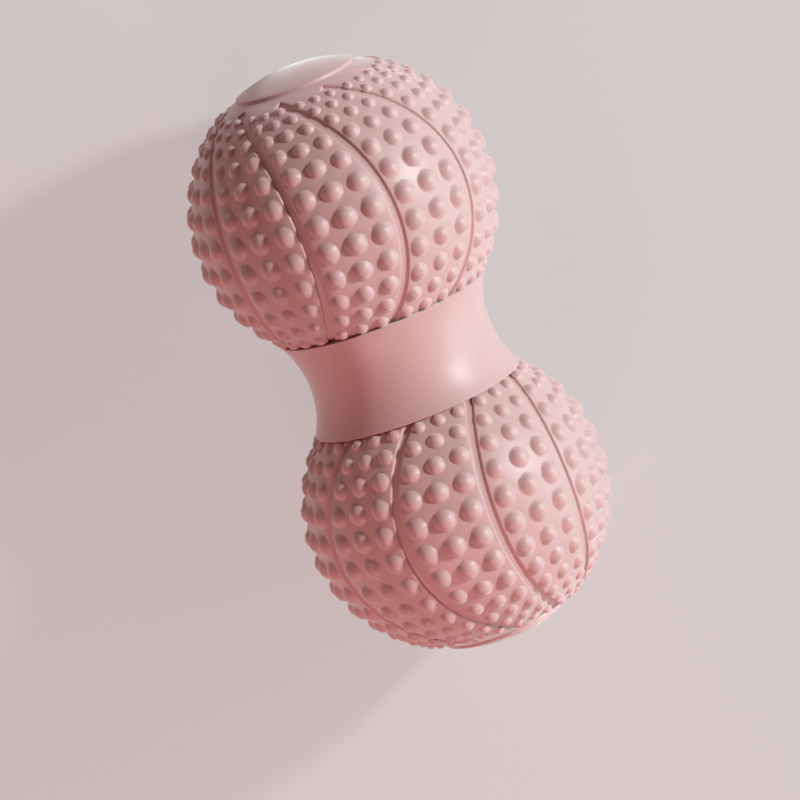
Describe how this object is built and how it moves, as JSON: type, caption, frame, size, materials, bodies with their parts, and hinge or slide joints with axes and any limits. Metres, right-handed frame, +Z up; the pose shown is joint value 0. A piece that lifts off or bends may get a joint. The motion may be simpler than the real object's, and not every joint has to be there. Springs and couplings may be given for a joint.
{
  "type": "peanut massage ball",
  "caption": "Peanut-shaped massage ball: two round lobes covered in small domed nubs, joined by a smooth waist, for rolling the muscles along both sides of the spine.",
  "frame": {"origin": "centre of the ball's footprint, on the floor it lies on, midway between the two lobes", "axes": "+X along the long axis to the end that the picture shows at the top, +Z up from the floor to the side that faces the viewer in the picture"},
  "size_m": [0.1574, 0.0798, 0.0797],
  "materials": {
    "silicone": "satin"
  },
  "bodies": {
    "root": {"ball": "silicone"}
  },
  "joints": []
}
